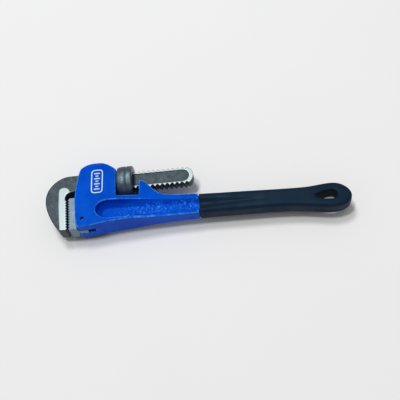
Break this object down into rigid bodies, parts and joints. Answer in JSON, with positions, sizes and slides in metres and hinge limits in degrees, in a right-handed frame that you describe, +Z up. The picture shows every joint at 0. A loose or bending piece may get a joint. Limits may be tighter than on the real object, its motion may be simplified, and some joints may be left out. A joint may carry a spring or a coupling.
{
  "type": "pipe wrench",
  "caption": "Adjustable pipe wrench with a sliding threaded hook jaw, knurled nut, toothed heel jaw and a sleeved I-section handle.",
  "frame": {"origin": "middle of the base of the wrench lying on its side", "axes": "+X along the jaw shank towards the handle's end, -X the jaw end, -Y the side the mouth opens to, +Z up through the thickness"},
  "size_m": [0.304, 0.0738, 0.034],
  "materials": {
    "blue_paint": "gloss enamel on rough cast iron",
    "grip_vinyl": "satin dipped vinyl",
    "forged_steel": "dark oxide forging with bright ground faces",
    "nut_steel": "fine straight knurl",
    "heel_steel": "ground and hardened",
    "pin_steel": "plain",
    "spring_steel": "oiled and tempered"
  },
  "bodies": {
    "frame": {"frame_casting": "blue_paint", "grip_sleeve": "grip_vinyl", "heel_jaw": "heel_steel", "heel_jaw_pin": "pin_steel", "coil_spring": "spring_steel"},
    "rocker": {"flat_spring": "spring_steel", "spring_rivet": "pin_steel"},
    "hook_jaw": {"hook_jaw": "forged_steel"},
    "adjusting_nut": {"adjusting_nut": "nut_steel"}
  },
  "joints": [
    {"name": "jaw_rock", "type": "hinge", "parent": "frame", "child": "rocker", "pos_m": [-0.07043, 0.01515, 0.017], "axis": [0, 0, 1], "range_deg": [-3, 0.4], "stiffness_Nm_per_rad": 3, "deforming": ["coil_spring"]},
    {"name": "jaw_slide", "type": "slide", "parent": "rocker", "child": "hook_jaw", "axis": [-1, 0, 0], "range_m": [0, 0.05]},
    {"name": "nut_spin", "type": "hinge", "parent": "rocker", "child": "adjusting_nut", "pos_m": [-0.07043, 0.01515, 0.017], "axis": [1, 0, 0], "range_deg": [0, 3600]}
  ],
  "couplings": [
    {"joint": "nut_spin", "follows": "jaw_slide", "rad_per_m": 1256.6}
  ]
}
